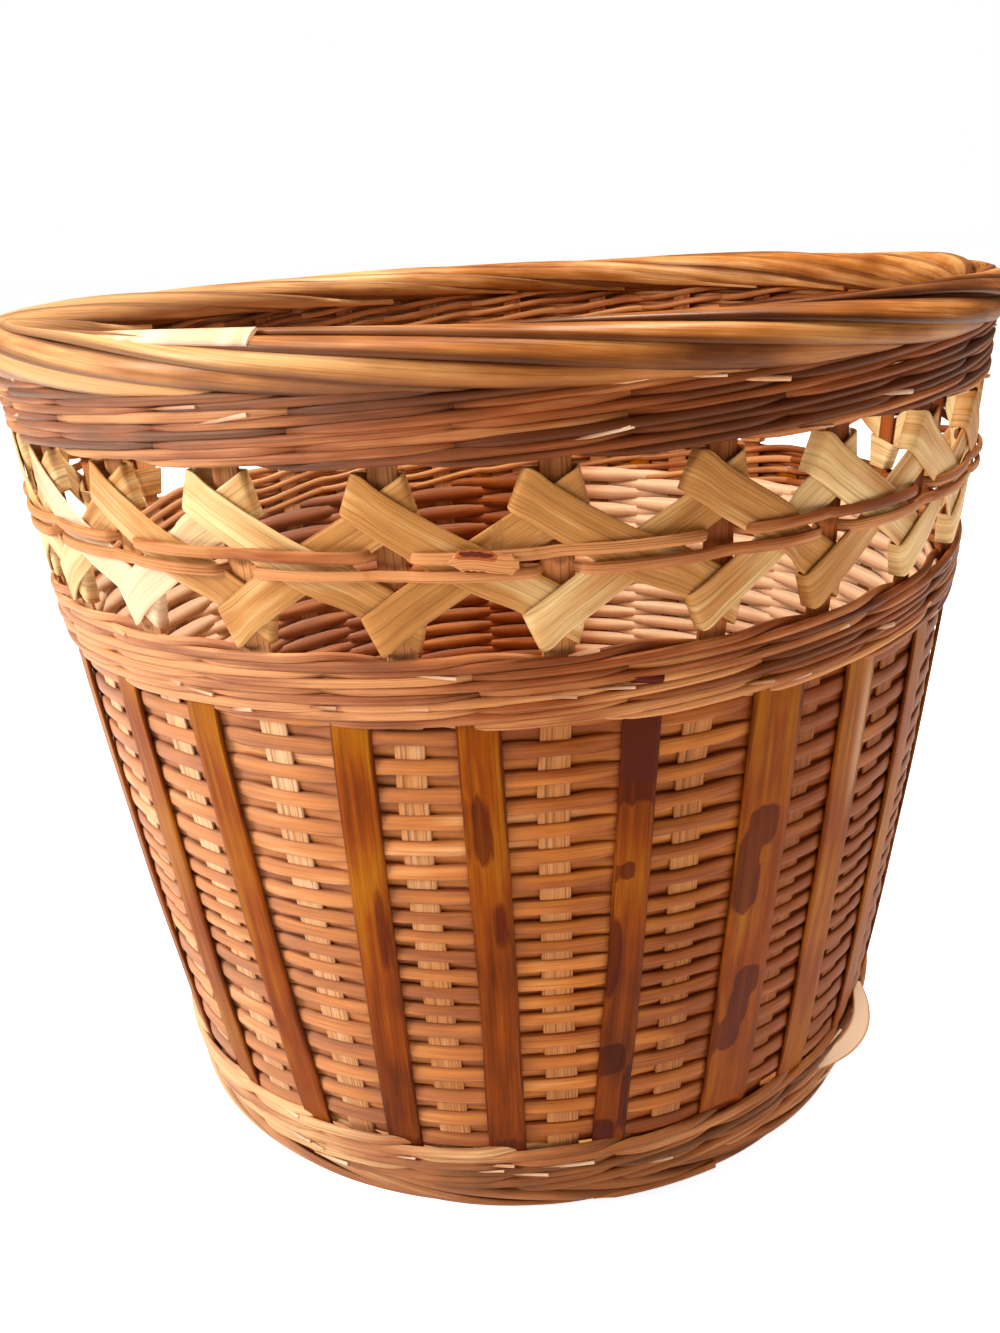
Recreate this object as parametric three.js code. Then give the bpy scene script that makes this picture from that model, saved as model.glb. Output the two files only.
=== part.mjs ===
// Woven bamboo planter, in millimetres, +Z up.
// The origin is on the ground, in the middle of the foot. The front faces -Y.
// Angles go from the front (-Y) towards +X, and stake 1 stands at the front.

import * as THREE from "three";

// Driving dimensions

const stakeCount = 25;             // odd, so that one reed in plain weave alternates by itself
const footRadius = 94.6;           // centre line of the stakes at the ground
const rimRadius = 119.6;           // centre line of the stakes at the rim
const profileHeight = 210;         // height over which the stakes lean out
const profileBulge = 2.9;          // how far the side bows out between foot and rim

const seat = 0.3;                  // clearance between two pieces that touch on the real basket

const stakeWidthFoot = 7.4;
const stakeWidthRim = 5.8;
const stakeThickness = 1.4;

const hoopReach = 5;               // how far the foot hoop stands out past the stakes' centre line
const hoopWidth = 13.6;
const hoopRounding = 5.1;          // under its outer edge
const hoopHeight = 6.7;

const matThickness = 3.5;          // woven floor that the pot stands on

const footTurns = 4;               // thick reed of the foot border
const footPitch = 3.2;
const footReedHeight = 2.9;
const footReedThickness = 1.6;

const wallTurns = 38;              // flat reed of the wall
const wallPitch = 3.05;
const wallReedHeight = 2.6;
const wallReedThickness = 1.2;

const overlayWidth = 8.4;          // broad strips outside the wall, between the stakes
const wideOverlayWidth = 13;       // one of them, right of the front, is wider
const wideOverlayIndex = 1;
const overlayThickness = 0.9;

const bandTurns = 4;               // thick reed below the open band
const bandPitch = 3.1;
const bandReedHeight = 2.7;
const bandReedThickness = 2.9;

const openHeight = 34.8;           // height of the open band
const splintWidth = 8.5;           // flat splint that zigzags through it
const splintThickness = 0.6;
const splintCrossOuter = 2.6;      // how far out the splint runs where it crosses itself
const splintCrossInner = 0.4;
const midReedThickness = 1.5;      // thin reed that goes twice round the open band
const midReedPitch = 3.3;

const upperTurns = 3;              // thick reed above the open band

const rimRoll = 5;                 // radius of the rolled rim, to the middle of its strands
const rimStrandWidth = 5.2;
const rimStrandThickness = 1.0;
const rimPasses = 5;               // times that the strand goes round the basket
const rimTwists = 11;              // times that it goes round the core meanwhile
const rimStepsPerPass = 30;
const rimCoreSides = 6;

const ringSteps = 40;              // facets round a turned ring
const startStake = 12;             // the reeds start and end at the back

// Shared geometry

const pitchAngle = (2 * Math.PI) / stakeCount;

function wallRadius(z) {
  const t = z / profileHeight;
  const bow = 4 * profileBulge * t * (1 - t);
  return footRadius + (rimRadius - footRadius) * t + bow;
}

function pitchLength(z) {
  return wallRadius(z) * pitchAngle;
}

function stakeWidth(z) {
  return THREE.MathUtils.lerp(stakeWidthFoot, stakeWidthRim, z / profileHeight);
}

function point(angle, radius, z) {
  return new THREE.Vector3(radius * Math.sin(angle), -radius * Math.cos(angle), z);
}

// A closed solid through rings of corners: joined end to start, or capped at both ends.
function solidFromSections(sections, closed) {
  const sides = sections[0].length;
  const positions = sections.flat().flatMap((corner) => corner.toArray());
  const index = [];
  const last = closed ? sections.length : sections.length - 1;
  for (let i = 0; i < last; i += 1) {
    const next = (i + 1) % sections.length;
    for (let j = 0; j < sides; j += 1) {
      const k = (j + 1) % sides;
      const a = i * sides + j;
      const b = i * sides + k;
      const c = next * sides + k;
      const d = next * sides + j;
      index.push(a, b, c, a, c, d);
    }
  }
  if (!closed) {
    const end = (sections.length - 1) * sides;
    for (let j = 1; j < sides - 1; j += 1) {
      index.push(0, j + 1, j, end, end + j, end + j + 1);
    }
  }
  return facingOut(positions, index);
}

function facingOut(positions, index) {
  const corner = (n) => new THREE.Vector3().fromArray(positions, 3 * n);
  let volume = 0;
  for (let i = 0; i < index.length; i += 3) {
    const [a, b, c] = [corner(index[i]), corner(index[i + 1]), corner(index[i + 2])];
    volume += a.dot(b.cross(c));
  }
  if (volume < 0) {
    for (let i = 0; i < index.length; i += 3) {
      [index[i + 1], index[i + 2]] = [index[i + 2], index[i + 1]];
    }
  }
  const geometry = new THREE.BufferGeometry();
  geometry.setAttribute("position", new THREE.Float32BufferAttribute(positions, 3));
  geometry.setIndex(index);
  geometry.computeVertexNormals();
  return geometry;
}

// A four-sided section in the radial plane: it leans with the wall.
function reedSection(angle, z, offset, height, thickness) {
  const low = z - height / 2;
  const high = z + height / 2;
  const inner = offset - thickness / 2;
  const outer = offset + thickness / 2;
  return [
    point(angle, wallRadius(low) + inner, low),
    point(angle, wallRadius(low) + outer, low),
    point(angle, wallRadius(high) + outer, high),
    point(angle, wallRadius(high) + inner, high),
  ];
}

// A four-sided section across an upright strip, which is flat from edge to edge.
function stripSection(angle, z, offset, width, thickness) {
  const outward = point(angle, 1, 0);
  const along = new THREE.Vector3(Math.cos(angle), Math.sin(angle), 0);
  const centre = point(angle, wallRadius(z) + offset, z);
  return [[-1, -1], [1, -1], [1, 1], [-1, 1]].map(([side, face]) => {
    const corner = centre.clone();
    corner.addScaledVector(along, (side * width) / 2);
    return corner.addScaledVector(outward, (face * thickness) / 2);
  });
}

function levels(low, high, count) {
  return Array.from({ length: count }, (_, i) => low + ((high - low) * i) / (count - 1));
}

// How far from the stakes' centre line a reed swings, so that it clears their faces and edges
// although it runs straight from one stake to the next.
function weaveSwing(z, reedThickness) {
  const edge = stakeWidth(z) / 2;
  const sag = edge * (pitchAngle / 2);
  const face = stakeThickness / 2 + seat + reedThickness / 2;
  return (face + sag) / (1 - (2 * edge) / pitchLength(z));
}

// Each woven reed is a spiral, with one section at each stake.
// start is the height of its middle at the first stake, and passes says on which side it
// goes at the stakes, in turn: 1 is outside and -1 is inside.
function reedHeightAt(reed, steps) {
  return reed.start + (reed.pitch * steps) / stakeCount;
}

function wovenReed(reed) {
  const sections = [];
  for (let step = 0; step < reed.turns * stakeCount; step += 1) {
    const z = reedHeightAt(reed, step);
    const side = reed.passes[step % reed.passes.length];
    const offset = side * weaveSwing(z, reed.thickness);
    const angle = (startStake + step) * pitchAngle;
    sections.push(reedSection(angle, z, offset, reed.height, reed.thickness));
  }
  return solidFromSections(sections, false);
}

// Height of the first row of a reed that lies on the last row of another.
function startAbove(below, pitch, height) {
  const steeper = Math.max(0, below.pitch - pitch);
  const lastRow = below.start + (below.turns - 1) * below.pitch + steeper;
  return lastRow + below.height / 2 + seat + height / 2;
}

// Steps from the start of the spirals round to a given angle, counted in stakes.
function stepsTo(angleInStakes) {
  return (angleInStakes - startStake + 2 * stakeCount) % stakeCount;
}

function topOf(reed, angleInStakes) {
  const steps = (reed.turns - 1) * stakeCount + stepsTo(angleInStakes);
  return reedHeightAt(reed, steps) + reed.height / 2;
}

function bottomOf(reed, angleInStakes) {
  return reedHeightAt(reed, stepsTo(angleInStakes)) - reed.height / 2;
}

// The four woven reeds, from the foot up

const plain = [1, -1];
const overTwo = [1, 1, -1];

const footWale = {
  start: hoopHeight + seat + footReedHeight / 2,
  turns: footTurns,
  pitch: footPitch,
  height: footReedHeight,
  thickness: footReedThickness,
  passes: overTwo,
};

const wallWeaver = {
  start: startAbove(footWale, wallPitch, wallReedHeight),
  turns: wallTurns,
  pitch: wallPitch,
  height: wallReedHeight,
  thickness: wallReedThickness,
  passes: plain,
};

const lowerBand = {
  start: startAbove(wallWeaver, bandPitch, bandReedHeight),
  turns: bandTurns,
  pitch: bandPitch,
  height: bandReedHeight,
  thickness: bandReedThickness,
  passes: overTwo,
};

const lowerBandTop = reedHeightAt(lowerBand, bandTurns * stakeCount) + bandReedHeight / 2;
const openLow = lowerBandTop + seat;
const openHigh = openLow + openHeight;

const upperBand = {
  start: openHigh + seat + bandReedHeight / 2,
  turns: upperTurns,
  pitch: bandPitch,
  height: bandReedHeight,
  thickness: bandReedThickness,
  passes: overTwo,
};

const upperBandTop = reedHeightAt(upperBand, upperTurns * stakeCount) + bandReedHeight / 2;
const rimLow = upperBandTop + seat;
const rimReach = Math.hypot(rimRoll + rimStrandThickness / 2, rimStrandWidth / 2);
const rimCentre = rimLow + rimReach;

// Stakes

function stake(index) {
  const angle = index * pitchAngle;
  const sections = levels(hoopHeight + seat, rimLow - seat, 5).map((z) => (
    stripSection(angle, z, 0, stakeWidth(z), stakeThickness)
  ));
  return solidFromSections(sections, false);
}

// Overlay strips lie on the weave, midway between two stakes.
function overlayOffset(z, width) {
  const edge = width / 2;
  const half = pitchLength(z) / 2;
  const swing = weaveSwing(z, wallReedThickness) * (edge / half);
  const sag = (half * half - edge * edge) / (2 * wallRadius(z));
  const wovenFace = swing - sag + wallReedThickness / 2;
  return wovenFace + seat + overlayThickness / 2;
}

function overlay(index) {
  const place = index + 0.5;
  const width = index === wideOverlayIndex ? wideOverlayWidth : overlayWidth;
  const low = topOf(footWale, place) + seat;
  const high = bottomOf(lowerBand, place) - seat;
  const sections = levels(low, high, 4).map((z) => (
    stripSection(place * pitchAngle, z, overlayOffset(z, width), width, overlayThickness)
  ));
  return solidFromSections(sections, false);
}

// Foot hoop and floor

function turned(profile, closed) {
  const outline = profile.map(([radius, z]) => new THREE.Vector2(radius, z));
  if (closed) {
    outline.push(outline[0].clone());
  }
  const geometry = new THREE.LatheGeometry(outline, ringSteps);
  geometry.rotateX(Math.PI / 2);
  return geometry;
}

function footHoop() {
  const outer = footRadius + hoopReach;
  const inner = outer - hoopWidth;
  const flat = outer - hoopRounding;
  const profile = [
    [inner, 0],
    [flat, 0],
    [flat + 0.7 * hoopRounding, 0.3 * hoopRounding],
    [outer, hoopRounding],
    [outer, hoopHeight],
    [inner, hoopHeight],
  ];
  return turned(profile, true);
}

function baseMat() {
  const low = hoopHeight + seat;
  const high = low + matThickness;
  const reach = weaveSwing(low, footReedThickness) + footReedThickness / 2;
  const radius = wallRadius(low) - reach - seat;
  return turned([[0, low], [radius, low], [radius, high], [0, high]], false);
}

// The zigzag splint goes twice round, because the stake count is odd: where its first round
// turns at the top of a stake, the second turns at the bottom. It passes behind the stakes
// at its turns, and crosses itself outside, midway between them.
function zigzagSplint() {
  const middle = (openLow + openHigh) / 2;
  const run = pitchLength(middle);
  let upright = splintWidth;
  for (let i = 0; i < 8; i += 1) {
    const rise = openHeight - upright;
    upright = splintWidth * Math.hypot(1, rise / run);
  }
  const climb = (openHeight - upright) / 2;
  const near = (stakeWidth(middle) / 2 + seat) / (run / 2);
  const face = stakeThickness / 2 + seat + splintThickness / 2;
  const behind = -(face + splintCrossOuter * near) / (1 - near);
  const sections = [];
  for (let step = 0; step < 2 * stakeCount; step += 1) {
    const atTop = step % 2 === 0;
    const turnZ = middle + (atTop ? climb : -climb);
    const angle = step * pitchAngle;
    sections.push(reedSection(angle, turnZ, behind, upright, splintThickness));
    const crossing = atTop ? splintCrossOuter : splintCrossInner;
    const half = angle + pitchAngle / 2;
    sections.push(reedSection(half, middle, crossing, upright, splintThickness));
  }
  return solidFromSections(sections, true);
}

// The thin reed lies outside the crossings and goes twice round.
function midReed() {
  const middle = (openLow + openHigh) / 2;
  const offset = splintCrossOuter + splintThickness / 2 + seat + midReedThickness / 2;
  const sections = [];
  for (let step = 0; step < 2 * stakeCount; step += 1) {
    const z = middle + midReedPitch * (step / stakeCount - 1);
    const angle = (startStake + step + 0.5) * pitchAngle;
    sections.push(reedSection(angle, z, offset, midReedThickness, midReedThickness));
  }
  return solidFromSections(sections, false);
}

// Rolled rim: a core hoop, and one flat strand that winds round it and round the basket
// until it covers the core.
function rimStrand() {
  const radius = wallRadius(rimCentre);
  const steps = rimPasses * rimStepsPerPass;
  const sections = [];
  for (let step = 0; step < steps; step += 1) {
    const share = step / steps;
    const angle = 2 * Math.PI * rimPasses * share;
    const turn = -2 * Math.PI * rimTwists * share;
    const across = [Math.cos(turn), Math.sin(turn)];
    const along = [-across[1], across[0]];
    sections.push([[-1, -1], [1, -1], [1, 1], [-1, 1]].map(([side, face]) => {
      const reach = rimRoll + (face * rimStrandThickness) / 2;
      const shift = (side * rimStrandWidth) / 2;
      const out = reach * across[0] + shift * along[0];
      const up = reach * across[1] + shift * along[1];
      return point(angle, radius + out, rimCentre + up);
    }));
  }
  return solidFromSections(sections, true);
}

function rimCore() {
  const facet = Math.PI / rimStepsPerPass;
  const sag = wallRadius(rimCentre) * (1 - Math.cos(facet));
  const twist = (Math.PI * rimTwists) / (rimPasses * rimStepsPerPass);
  const coil = rimRoll * (1 - Math.cos(twist));
  const radius = rimRoll - rimStrandThickness / 2 - seat - sag - coil;
  const profile = [];
  for (let side = 0; side < rimCoreSides; side += 1) {
    const angle = (2 * Math.PI * side) / rimCoreSides;
    const out = wallRadius(rimCentre) + radius * Math.cos(angle);
    profile.push([out, rimCentre + radius * Math.sin(angle)]);
  }
  return turned(profile, true);
}

// Materials, in the colours of weathered and varnished bamboo

const finish = {
  pithCane: new THREE.MeshStandardMaterial({ color: 0xd9a566, roughness: 0.7, metalness: 0 }),
  glossyCane: new THREE.MeshStandardMaterial({ color: 0xb9772f, roughness: 0.35, metalness: 0 }),
  wallReed: new THREE.MeshStandardMaterial({ color: 0xc98245, roughness: 0.6, metalness: 0 }),
  bandReed: new THREE.MeshStandardMaterial({ color: 0xa9602f, roughness: 0.5, metalness: 0 }),
  paleSplint: new THREE.MeshStandardMaterial({ color: 0xe0bd7f, roughness: 0.6, metalness: 0 }),
  innerCane: new THREE.MeshStandardMaterial({ color: 0x9a5c2c, roughness: 0.75, metalness: 0 }),
};

// Assembly

const planter = new THREE.Group();

function add(name, geometry, material) {
  const mesh = new THREE.Mesh(geometry, material);
  mesh.name = name;
  planter.add(mesh);
}

function numbered(name, index) {
  return `${name}_${String(index + 1).padStart(2, "0")}`;
}

add("foot_hoop", footHoop(), finish.innerCane);
add("base_mat", baseMat(), finish.innerCane);
add("foot_wale", wovenReed(footWale), finish.bandReed);
for (let index = 0; index < stakeCount; index += 1) {
  add(numbered("stake", index), stake(index), finish.pithCane);
}
add("wall_weaver", wovenReed(wallWeaver), finish.wallReed);
for (let index = 0; index < stakeCount; index += 1) {
  add(numbered("overlay", index), overlay(index), finish.glossyCane);
}
add("lower_band_reed", wovenReed(lowerBand), finish.bandReed);
add("zigzag_splint", zigzagSplint(), finish.paleSplint);
add("mid_reed", midReed(), finish.bandReed);
add("upper_band_reed", wovenReed(upperBand), finish.bandReed);
add("rim_core", rimCore(), finish.innerCane);
add("rim_strand", rimStrand(), finish.glossyCane);

export default planter;
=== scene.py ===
"""Looks of the woven bamboo planter. Lengths are in millimetres until a mesh is made."""

import math

import bmesh
import bpy
import numpy as np
from mathutils import Matrix, Vector


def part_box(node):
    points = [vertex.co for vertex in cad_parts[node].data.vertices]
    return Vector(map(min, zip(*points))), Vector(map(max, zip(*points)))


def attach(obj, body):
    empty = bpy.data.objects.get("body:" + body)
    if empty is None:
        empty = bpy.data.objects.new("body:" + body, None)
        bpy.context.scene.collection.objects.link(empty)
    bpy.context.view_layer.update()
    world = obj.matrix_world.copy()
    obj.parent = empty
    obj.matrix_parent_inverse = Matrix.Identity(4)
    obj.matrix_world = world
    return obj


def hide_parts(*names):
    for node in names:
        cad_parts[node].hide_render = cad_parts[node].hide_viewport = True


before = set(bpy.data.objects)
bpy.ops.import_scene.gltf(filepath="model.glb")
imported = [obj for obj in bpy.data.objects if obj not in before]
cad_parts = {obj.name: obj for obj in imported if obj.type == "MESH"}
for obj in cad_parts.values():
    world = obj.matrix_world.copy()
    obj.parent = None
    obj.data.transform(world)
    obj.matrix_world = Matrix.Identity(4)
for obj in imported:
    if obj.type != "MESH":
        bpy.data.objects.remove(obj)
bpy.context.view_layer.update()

MM = 0.001

# The basket's driving sizes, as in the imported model

STAKES = 25
PITCH = 2 * math.pi / STAKES
FOOT_RADIUS = 94.6
RIM_RADIUS = 119.6
PROFILE_HEIGHT = 210.0
PROFILE_BULGE = 2.9
SNUG = 0.8                  # the stakes stand so much further out than in the model
START_STAKE = 12            # the reeds start and end at the back
STAKE_WIDTHS = (7.4, 5.8)   # at the foot and at the top

# The camera, as the photograph was taken

CAMERA_TURN = math.radians(3.6)     # the front stake stands a little to the right
CAMERA_YAW = 0.0095
CAMERA_PITCH = 0.352
CAMERA_ROLL = 0.056
CAMERA_PLACE = (0.0, -335.4, 228.3)
LENS = 33.67
SENSOR = 36.0


# Places and curves

def wall(z):
    """Radius of the stakes' centre line at a height."""
    t = z / PROFILE_HEIGHT
    return FOOT_RADIUS + (RIM_RADIUS - FOOT_RADIUS) * t + 4 * PROFILE_BULGE * t * (1 - t) + SNUG


def spot(angle, radius, z):
    """Point at an angle from the front (-Y) towards +X."""
    angle, radius, z = np.broadcast_arrays(angle, radius, z)
    return np.stack([radius * np.sin(angle), -radius * np.cos(angle), z], axis=-1)


def levels_of(node):
    low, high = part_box(node)
    return low.z / MM, high.z / MM


def middle_of(node):
    low, high = levels_of(node)
    return (low + high) / 2


def unit(v):
    return v / np.maximum(np.linalg.norm(v, axis=-1, keepdims=True), 1e-9)


def ease(t):
    """From 0 to 1 with a soft start and end."""
    t = np.clip(t, 0, 1)
    return t * t * (3 - 2 * t)


def painted_side_light(angle, lit_paler, darker):
    """Painted light: the left side paler, as if lit, and the right side darker, as if in shade."""
    side = np.sin(angle)
    return lit_paler * np.maximum(-side, 0) - darker * np.maximum(side, 0)


def wobble(s, period, amount, seed, loop=None):
    """Smooth random wandering along s; loop is the length after which it repeats."""
    rng = np.random.default_rng(seed)
    if loop:
        count = max(3, round(loop / period))
        t = np.asarray(s, float) / loop * count
        knots = rng.uniform(-1, 1, count)
        low = np.floor(t).astype(int)
        a, b = knots[low % count], knots[(low + 1) % count]
    else:
        t = np.asarray(s, float) / period
        t = t - t.min()
        knots = rng.uniform(-1, 1, int(t.max()) + 3)
        low = np.floor(t).astype(int)
        a, b = knots[low], knots[low + 1]
    return amount * (a + (b - a) * ease(t - low))


def smooth_path(points, steps):
    """Catmull-Rom curve through the points."""
    p = np.asarray(points, float)
    p = np.vstack([2 * p[:1] - p[1:2], p, 2 * p[-1:] - p[-2:-1]])
    t = np.linspace(0, 1, steps, endpoint=False)[:, None, None]
    a, b, c, d = p[:-3], p[1:-2], p[2:-1], p[3:]
    curve = 0.5 * (2 * b + (c - a) * t + (2 * a - 5 * b + 4 * c - d) * t ** 2
                   + (3 * b - a - 3 * c + d) * t ** 3)
    curve = curve.transpose(1, 0, 2).reshape(-1, p.shape[1])
    return np.vstack([curve, p[-2:-1]])


# Sections of a strand: across it from -1 to 1, and through it from -1 to 1

def round_section(count=10, power=0.75):
    a = np.linspace(0, 2 * math.pi, count, endpoint=False) + math.pi / count
    across = np.sign(np.cos(a)) * np.abs(np.cos(a)) ** power
    through = np.sign(np.sin(a)) * np.abs(np.sin(a)) ** power
    return np.stack([across, through], axis=1)


def strip_section(crown, edge):
    """A flat strip: its outer face is crowned, and its edges are cut off at a slant."""
    across = np.concatenate([[-1], np.linspace(-1 + edge, 1 - edge, 9), [1]])
    outer = 1 - crown * across ** 2
    outer[[0, -1]] -= 0.45
    top = np.stack([across, outer], axis=1)
    bottom = np.stack([across[::-1], np.full(len(across), -0.9)], axis=1)
    bottom[[0, -1], 1] = -0.5
    return np.vstack([top, bottom])[::-1]


OVAL_REED = round_section()
ROUND_REED = round_section(10, 1.0)
WALL_REED = np.array([(-0.97, -1), (0.97, -1), (1, 0.2), (0.9, 0.66), (0.66, 0.92), (0, 1),
                      (-0.66, 0.92), (-0.9, 0.66), (-1, 0.2)])
STRIP = strip_section(0.25, 0.06)
THIN_STRIP = strip_section(0.1, 0.03)
CANE = strip_section(0.9, 0.08)


def two_sided(tone, section, paler):
    """The inner face of split cane has no skin and is paler. The woven wall also uses it for painted light
    on its inner face.
    """
    return np.reshape(tone, (-1, 1)) + np.reshape(paler, (-1, 1)) * (section[:, 1] < -0.05)


STRAND_SHIFT = 531.0        # each strand starts so far along the cane's pattern after the last one


class Weave:
    """Collects strands into one mesh, with each strand's own lengthways and crossways sizes."""

    def __init__(self):
        self.points, self.faces = [], []
        self.strand, self.tone = [], []
        self.count = 0

    def add_rings(self, rings, across, along, tone, mark, closed):
        n, m, _ = rings.shape
        start = self.count
        self.points.append(rings.reshape(-1, 3))
        strand = np.stack(np.broadcast_arrays(along[:, None], across), axis=-1)
        self.strand.append(strand.reshape(-1, 2))
        tone = np.asarray(tone, float)
        tones = np.broadcast_to(tone if tone.ndim == 2 else tone.reshape(-1, 1), (n, m))
        marks = np.broadcast_to(mark, (n, m))
        self.tone.append(np.stack([tones, marks], axis=-1).reshape(-1, 2))
        i = np.arange(n if closed else n - 1)[:, None]
        j = np.arange(m)[None, :]
        after = (i + 1) % n
        beside = (j + 1) % m
        corners = (i * m + j, i * m + beside, after * m + beside, after * m + j)
        quads = np.stack(np.broadcast_arrays(*corners), axis=-1)
        self.faces.extend((quads.reshape(-1, 4) + start).tolist())
        if not closed:
            self.faces.append([start + v for v in range(m)][::-1])
            self.faces.append([start + (n - 1) * m + v for v in range(m)])
        self.count += n * m

    def strand_along(self, path, facing, width, depth, section, tone=0.5, mark=0.0, closed=False,
                     side=None, tilt=0.0, start=None):
        """A strand along a path. Its outer face is turned the way that facing points, unless
        side gives the way across it; start is where it begins on the cane's pattern."""
        n = len(path)
        if closed:
            tangent = unit(np.roll(path, -1, 0) - np.roll(path, 1, 0))
        else:
            tangent = unit(np.gradient(path, axis=0))
        side = unit(np.cross(facing, tangent) if side is None else side)
        front = unit(np.cross(tangent, side))
        if tilt:
            c, s = math.cos(tilt), math.sin(tilt)
            side, front = side * c + front * s, front * c - side * s
        w = np.broadcast_to(np.asarray(width, float), n)[:, None] / 2
        d = np.broadcast_to(np.asarray(depth, float), n)[:, None] / 2
        rings = (path[:, None] + side[:, None] * (w * section[:, 0])[..., None]
                 + front[:, None] * (d * section[:, 1])[..., None])
        step = np.linalg.norm(np.diff(path, axis=0), axis=1)
        if start is None:
            start = STRAND_SHIFT * len(self.points)
        along = start + np.concatenate([[0], np.cumsum(step)])
        self.add_rings(rings, w * section[:, 0], along, tone, mark, closed)

    def finish(self, name, material, slot, node):
        """One object, riding on the basket's only body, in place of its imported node."""
        mesh = bpy.data.meshes.new(name)
        points = np.vstack(self.points) * MM
        mesh.from_pydata(points.tolist(), [], self.faces)
        corner = np.zeros(len(mesh.loops), np.int32)
        mesh.loops.foreach_get("vertex_index", corner)
        for layer, values in (("strand", np.vstack(self.strand)), ("tone", np.vstack(self.tone))):
            uv = mesh.uv_layers.new(name=layer)
            uv.data.foreach_set("uv", values[corner].astype(np.float32).ravel())
        mesh.polygons.foreach_set("use_smooth", [True] * len(mesh.polygons))
        mesh.materials.append(material)
        mesh.update()
        fix_normals(mesh)
        piece = bpy.data.objects.new(name, mesh)
        bpy.context.scene.collection.objects.link(piece)
        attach(piece, "root")
        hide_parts(node)


def fix_normals(mesh):
    """Turns the faces outward, and keeps the cut ends sharp."""
    bm = bmesh.new()
    bm.from_mesh(mesh)
    bmesh.ops.recalc_face_normals(bm, faces=bm.faces)
    for face in bm.faces:
        if len(face.verts) > 4:
            for edge in face.edges:
                edge.smooth = False
    bm.to_mesh(mesh)
    bm.free()


# Materials

def link(tree, a, b):
    tree.links.new(a, b)


def math_node(tree, kind, a, b=None, clamp=False):
    node = tree.nodes.new("ShaderNodeMath")
    node.operation = kind
    node.use_clamp = clamp
    for socket, value in ((0, a), (1, b)):
        if value is None:
            continue
        if isinstance(value, (int, float)):
            node.inputs[socket].default_value = value
        else:
            link(tree, value, node.inputs[socket])
    return node.outputs[0]


def scaled(tree, value, factor, clamp=False):
    return math_node(tree, "MULTIPLY", value, factor, clamp)


def centred(tree, value, amount):
    """A noise's distance from its middle, times an amount."""
    return scaled(tree, math_node(tree, "SUBTRACT", value, 0.5), amount)


def risen(tree, value, start, end):
    """From 0 at the start to 1 at the end."""
    return math_node(tree, "DIVIDE", math_node(tree, "SUBTRACT", value, start), end - start, clamp=True)


def channels(tree, layer):
    """The two values of a UV layer."""
    uv = tree.nodes.new("ShaderNodeUVMap")
    uv.uv_map = layer
    split = tree.nodes.new("ShaderNodeSeparateXYZ")
    link(tree, uv.outputs[0], split.inputs[0])
    return split.outputs[0], split.outputs[1]


def noise_node(tree, x, y, z, detail):
    combine = tree.nodes.new("ShaderNodeCombineXYZ")
    for socket, value in enumerate((x, y)):
        link(tree, value, combine.inputs[socket])
    combine.inputs[2].default_value = z
    node = tree.nodes.new("ShaderNodeTexNoise")
    node.inputs["Scale"].default_value = 1.0
    node.inputs["Detail"].default_value = detail
    node.inputs["Roughness"].default_value = 0.55
    link(tree, combine.outputs[0], node.inputs["Vector"])
    return node.outputs["Fac"]


def ramp_node(tree, value, stops):
    node = tree.nodes.new("ShaderNodeValToRGB")
    elements = node.color_ramp.elements
    while len(elements) < len(stops):
        elements.new(0.5)
    for element, (place, color) in zip(elements, stops):
        element.position = place
        element.color = (*color, 1.0)
    link(tree, value, node.inputs["Fac"])
    return node.outputs["Color"]


def mix_node(tree, factor, a, b, blend="MIX"):
    node = tree.nodes.new("ShaderNodeMix")
    node.data_type = "RGBA"
    node.blend_type = blend
    sockets = [s for s in node.inputs if s.type == "RGBA"]
    for socket, value in zip([node.inputs[0], *sockets], (factor, a, b)):
        if isinstance(value, (int, float)):
            socket.default_value = value
        elif isinstance(value, tuple):
            socket.default_value = (*value, 1.0)
        else:
            link(tree, value, socket)
    return [s for s in node.outputs if s.type == "RGBA"][0]


def tinted(tree, factor, color, tint):
    """The colour, multiplied by the tint where the factor is 1."""
    return mix_node(tree, factor, color, mix_node(tree, 1.0, color, tint, "MULTIPLY"))


def screen_color(code):
    """A colour as it looks on screen, turned into linear light."""
    values = [int(code[i:i + 2], 16) / 255 for i in (0, 2, 4)]
    return tuple(v / 12.92 if v <= 0.04045 else ((v + 0.055) / 1.055) ** 2.4 for v in values)


CHARRED = screen_color("4a1610")
# Pale cane colour: for pale cut ends, and for painted light
BLEACHED_AND_LIT = screen_color("ecd3bd")
FIBRE_SHADES = [(0.0, (0.42, 0.36, 0.32)), (0.5, (0.92, 0.9, 0.88)), (1.0, (1.0, 1.0, 1.0))]
WARM_GLOSS = (1.0, 0.72, 0.48, 1.0)


def marked(tree, color, mark, broad, scorch_and_shade):
    """Above 0 the mark scorches, and also paints shade; far above it turns nearly black; below 0 it pales,
    for pale cut ends and as painted light.
    """
    ragged = math_node(tree, "ADD", mark, centred(tree, broad, 1.1))
    scorch_and_shade_amount = math_node(tree, "SUBTRACT", ragged, 0.4)
    color = tinted(tree, scaled(tree, scorch_and_shade_amount, 7.0, clamp=True), color, scorch_and_shade)
    charred = scaled(tree, math_node(tree, "SUBTRACT", scorch_and_shade_amount, 0.9), 4.0, clamp=True)
    color = mix_node(tree, scaled(tree, charred, 0.9), color, CHARRED)
    return mix_node(tree, scaled(tree, mark, -1.0, clamp=True), color, BLEACHED_AND_LIT)


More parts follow.
